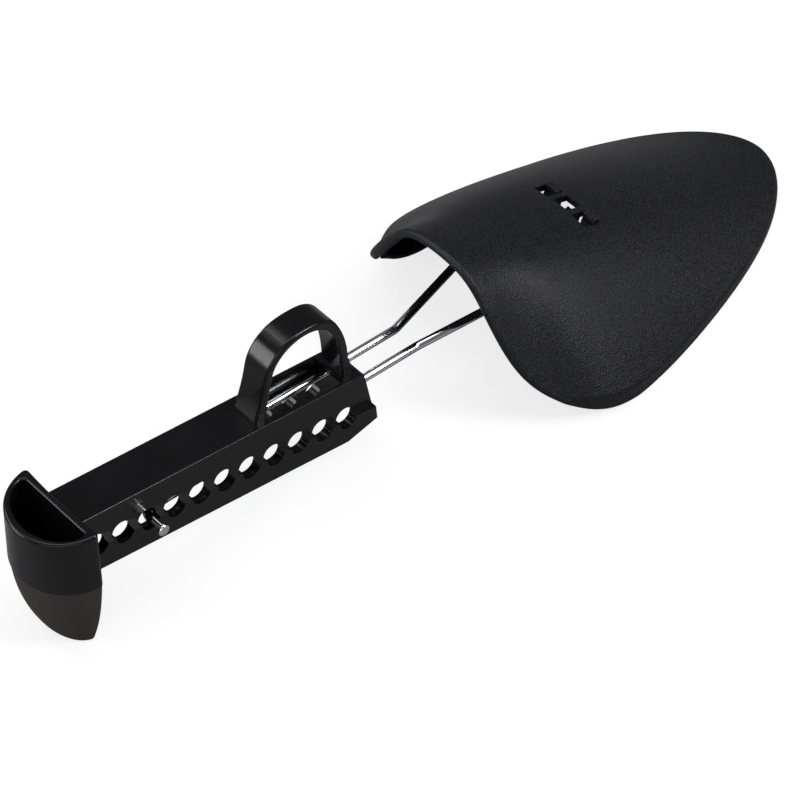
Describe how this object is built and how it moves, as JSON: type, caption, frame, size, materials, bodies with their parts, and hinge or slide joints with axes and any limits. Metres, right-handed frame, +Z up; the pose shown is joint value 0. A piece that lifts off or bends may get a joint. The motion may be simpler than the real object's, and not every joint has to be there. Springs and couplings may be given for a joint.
{
  "type": "shoe stretcher",
  "caption": "Wire shoe stretcher: a domed toe plate on a springy wire that locks in a row of holes along a moulded arm with a finger ring and a rounded heel.",
  "frame": {"origin": "middle of the whole length and width, on the floor the stretcher lies on", "axes": "+X from the heel to the toe, +Y to the left seen from the heel, +Z up"},
  "size_m": [0.2526, 0.0852, 0.05],
  "materials": {
    "arm_plastic": "moulded, glossy",
    "foot_plastic": "moulded, dull",
    "chromed_wire": "bright chromed spring wire",
    "plate_plastic": "fine spark-textured mould surface"
  },
  "bodies": {
    "arm": {"arm": "arm_plastic", "heel_cup": "arm_plastic", "heel_foot": "foot_plastic"},
    "wire": {"wire_crossbar": "chromed_wire"},
    "left_leg": {"wire_leg_left": "chromed_wire"},
    "right_leg": {"wire_leg_right": "chromed_wire"},
    "toe": {"toe_plate": "plate_plastic"}
  },
  "joints": [
    {"name": "length_slide", "type": "slide", "parent": "arm", "child": "wire", "axis": [0.9861, 0, -0.1661], "range_m": [-0.016, 0.064], "deforming": ["wire_leg_left", "wire_leg_right"]},
    {"name": "left_leg_press", "type": "hinge", "parent": "wire", "child": "left_leg", "pos_m": [0.05164, 0.01178, 0.02399], "axis": [0.1661, 0, 0.9861], "range_deg": [0, 0.8], "stiffness_Nm_per_rad": 5.7},
    {"name": "right_leg_press", "type": "hinge", "parent": "wire", "child": "right_leg", "pos_m": [0.05164, -0.01178, 0.02399], "axis": [-0.1661, 0, -0.9861], "range_deg": [0, 0.8], "stiffness_Nm_per_rad": 5.7},
    {"name": "toe_tilt", "type": "hinge", "parent": "wire", "child": "toe", "pos_m": [0.05278, 0, 0.0238], "axis": [0, 1, 0], "range_deg": [-15, 20]}
  ],
  "couplings": [
    {"joint": "right_leg_press", "follows": "left_leg_press", "ratio": 1}
  ]
}
